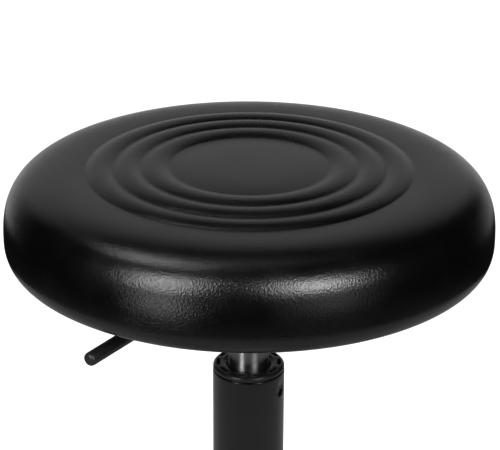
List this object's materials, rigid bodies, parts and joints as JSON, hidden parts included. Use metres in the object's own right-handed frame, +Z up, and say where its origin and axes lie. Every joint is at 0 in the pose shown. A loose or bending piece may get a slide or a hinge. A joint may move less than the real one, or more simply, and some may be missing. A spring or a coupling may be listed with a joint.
{
  "type": "adjustable swivel stool",
  "caption": "Round padded swivel stool with a gas-lift column, a release lever under the seat, and a five-star base on twin-wheel casters.",
  "frame": {"origin": "on the floor, on the seat's swivel axis, which is also the base's centre", "axes": "+Z up along the swivel axis; one base arm points along +Y; all casters trail towards -Y at rest"},
  "size_m": [0.4878, 0.4935, 0.469],
  "materials": {
    "vinyl": "satin",
    "foam": "matte",
    "plywood": "matte",
    "black_steel": "satin",
    "bright_steel": "polished",
    "zinc": "satin",
    "black_plastic": "satin",
    "black_nylon": "satin",
    "rubber": "matte"
  },
  "bodies": {
    "base": {"star_base": "black_nylon", "column_tube": "black_steel", "column_bushing": "black_plastic", "bearing_race_lower": "bright_steel", "grip_ring_1": "zinc", "grip_ring_2": "zinc", "grip_ring_3": "zinc", "grip_ring_4": "zinc", "grip_ring_5": "zinc"},
    "bearing_cage": {"bearing_balls": "bright_steel"},
    "rod": {"piston_rod": "bright_steel", "piston_head": "black_plastic", "bearing_race_upper": "bright_steel", "end_bumper": "rubber", "retaining_clip": "zinc"},
    "seat": {"gas_cylinder": "bright_steel", "rod_guide": "black_plastic", "taper_socket": "black_steel", "lever_channel": "black_steel", "mounting_plate": "black_steel", "lever_pivot_pin": "zinc", "seat_board": "plywood", "seat_foam": "foam", "seat_cover": "vinyl", "plate_bolt_1": "zinc", "plate_bolt_2": "zinc", "plate_bolt_3": "zinc", "plate_bolt_4": "zinc", "t_nut_1": "zinc", "t_nut_2": "zinc", "t_nut_3": "zinc", "t_nut_4": "zinc"},
    "lever": {"lever_bar": "black_steel", "lever_grip": "black_plastic"},
    "valve_pin": {"release_pin": "bright_steel"},
    "caster_1": {"caster_stem_1": "zinc", "caster_housing_1": "black_nylon", "caster_axle_1": "zinc"},
    "wheel_left_body_1": {"wheel_left_1": "black_nylon"},
    "wheel_right_body_1": {"wheel_right_1": "black_nylon"},
    "caster_2": {"caster_stem_2": "zinc", "caster_housing_2": "black_nylon", "caster_axle_2": "zinc"},
    "wheel_left_body_2": {"wheel_left_2": "black_nylon"},
    "wheel_right_body_2": {"wheel_right_2": "black_nylon"},
    "caster_3": {"caster_stem_3": "zinc", "caster_housing_3": "black_nylon", "caster_axle_3": "zinc"},
    "wheel_left_body_3": {"wheel_left_3": "black_nylon"},
    "wheel_right_body_3": {"wheel_right_3": "black_nylon"},
    "caster_4": {"caster_stem_4": "zinc", "caster_housing_4": "black_nylon", "caster_axle_4": "zinc"},
    "wheel_left_body_4": {"wheel_left_4": "black_nylon"},
    "wheel_right_body_4": {"wheel_right_4": "black_nylon"},
    "caster_5": {"caster_stem_5": "zinc", "caster_housing_5": "black_nylon", "caster_axle_5": "zinc"},
    "wheel_left_body_5": {"wheel_left_5": "black_nylon"},
    "wheel_right_body_5": {"wheel_right_5": "black_nylon"}
  },
  "joints": [
    {"name": "seat_swivel", "type": "hinge", "parent": "base", "child": "rod", "pos_m": [0, 0, 0.069], "axis": [0, 0, 1], "continuous": true},
    {"name": "cage_spin", "type": "hinge", "parent": "base", "child": "bearing_cage", "pos_m": [0, 0, 0.067], "axis": [0, 0, 1], "continuous": true},
    {"name": "gas_lift", "type": "slide", "parent": "rod", "child": "seat", "axis": [0, 0, 1], "range_m": [-0.025, 0.105]},
    {"name": "lever_hinge", "type": "hinge", "parent": "seat", "child": "lever", "pos_m": [-0.02212, -0.02712, 0.38675], "axis": [-0.7749, 0.632, 0], "range_deg": [0, 5.5], "stiffness_Nm_per_rad": 6, "springref_deg": -8.59},
    {"name": "valve_press", "type": "slide", "parent": "seat", "child": "valve_pin", "axis": [0, 0, -1], "range_m": [0, 0.0036]},
    {"name": "caster_swivel_1", "type": "hinge", "parent": "base", "child": "caster_1", "pos_m": [0, 0.23, 0.065], "axis": [0, 0, 1], "continuous": true},
    {"name": "wheel_left_spin_1", "type": "hinge", "parent": "caster_1", "child": "wheel_left_body_1", "pos_m": [-0.0165, 0.204, 0.03], "axis": [1, 0, 0], "continuous": true},
    {"name": "wheel_right_spin_1", "type": "hinge", "parent": "caster_1", "child": "wheel_right_body_1", "pos_m": [0.0165, 0.204, 0.03], "axis": [1, 0, 0], "continuous": true},
    {"name": "caster_swivel_2", "type": "hinge", "parent": "base", "child": "caster_2", "pos_m": [-0.21874, 0.07107, 0.065], "axis": [0, 0, 1], "continuous": true},
    {"name": "wheel_left_spin_2", "type": "hinge", "parent": "caster_2", "child": "wheel_left_body_2", "pos_m": [-0.23524, 0.04507, 0.03], "axis": [1, 0, 0], "continuous": true},
    {"name": "wheel_right_spin_2", "type": "hinge", "parent": "caster_2", "child": "wheel_right_body_2", "pos_m": [-0.20224, 0.04507, 0.03], "axis": [1, 0, 0], "continuous": true},
    {"name": "caster_swivel_3", "type": "hinge", "parent": "base", "child": "caster_3", "pos_m": [-0.13519, -0.18607, 0.065], "axis": [0, 0, 1], "continuous": true},
    {"name": "wheel_left_spin_3", "type": "hinge", "parent": "caster_3", "child": "wheel_left_body_3", "pos_m": [-0.15169, -0.21207, 0.03], "axis": [1, 0, 0], "continuous": true},
    {"name": "wheel_right_spin_3", "type": "hinge", "parent": "caster_3", "child": "wheel_right_body_3", "pos_m": [-0.11869, -0.21207, 0.03], "axis": [1, 0, 0], "continuous": true},
    {"name": "caster_swivel_4", "type": "hinge", "parent": "base", "child": "caster_4", "pos_m": [0.13519, -0.18607, 0.065], "axis": [0, 0, 1], "continuous": true},
    {"name": "wheel_left_spin_4", "type": "hinge", "parent": "caster_4", "child": "wheel_left_body_4", "pos_m": [0.11869, -0.21207, 0.03], "axis": [1, 0, 0], "continuous": true},
    {"name": "wheel_right_spin_4", "type": "hinge", "parent": "caster_4", "child": "wheel_right_body_4", "pos_m": [0.15169, -0.21207, 0.03], "axis": [1, 0, 0], "continuous": true},
    {"name": "caster_swivel_5", "type": "hinge", "parent": "base", "child": "caster_5", "pos_m": [0.21874, 0.07107, 0.065], "axis": [0, 0, 1], "continuous": true},
    {"name": "wheel_left_spin_5", "type": "hinge", "parent": "caster_5", "child": "wheel_left_body_5", "pos_m": [0.20224, 0.04507, 0.03], "axis": [1, 0, 0], "continuous": true},
    {"name": "wheel_right_spin_5", "type": "hinge", "parent": "caster_5", "child": "wheel_right_body_5", "pos_m": [0.23524, 0.04507, 0.03], "axis": [1, 0, 0], "continuous": true}
  ],
  "couplings": [
    {"joint": "cage_spin", "follows": "seat_swivel", "ratio": 0.5},
    {"joint": "valve_press", "follows": "lever_hinge", "m_per_rad": 0.035}
  ]
}
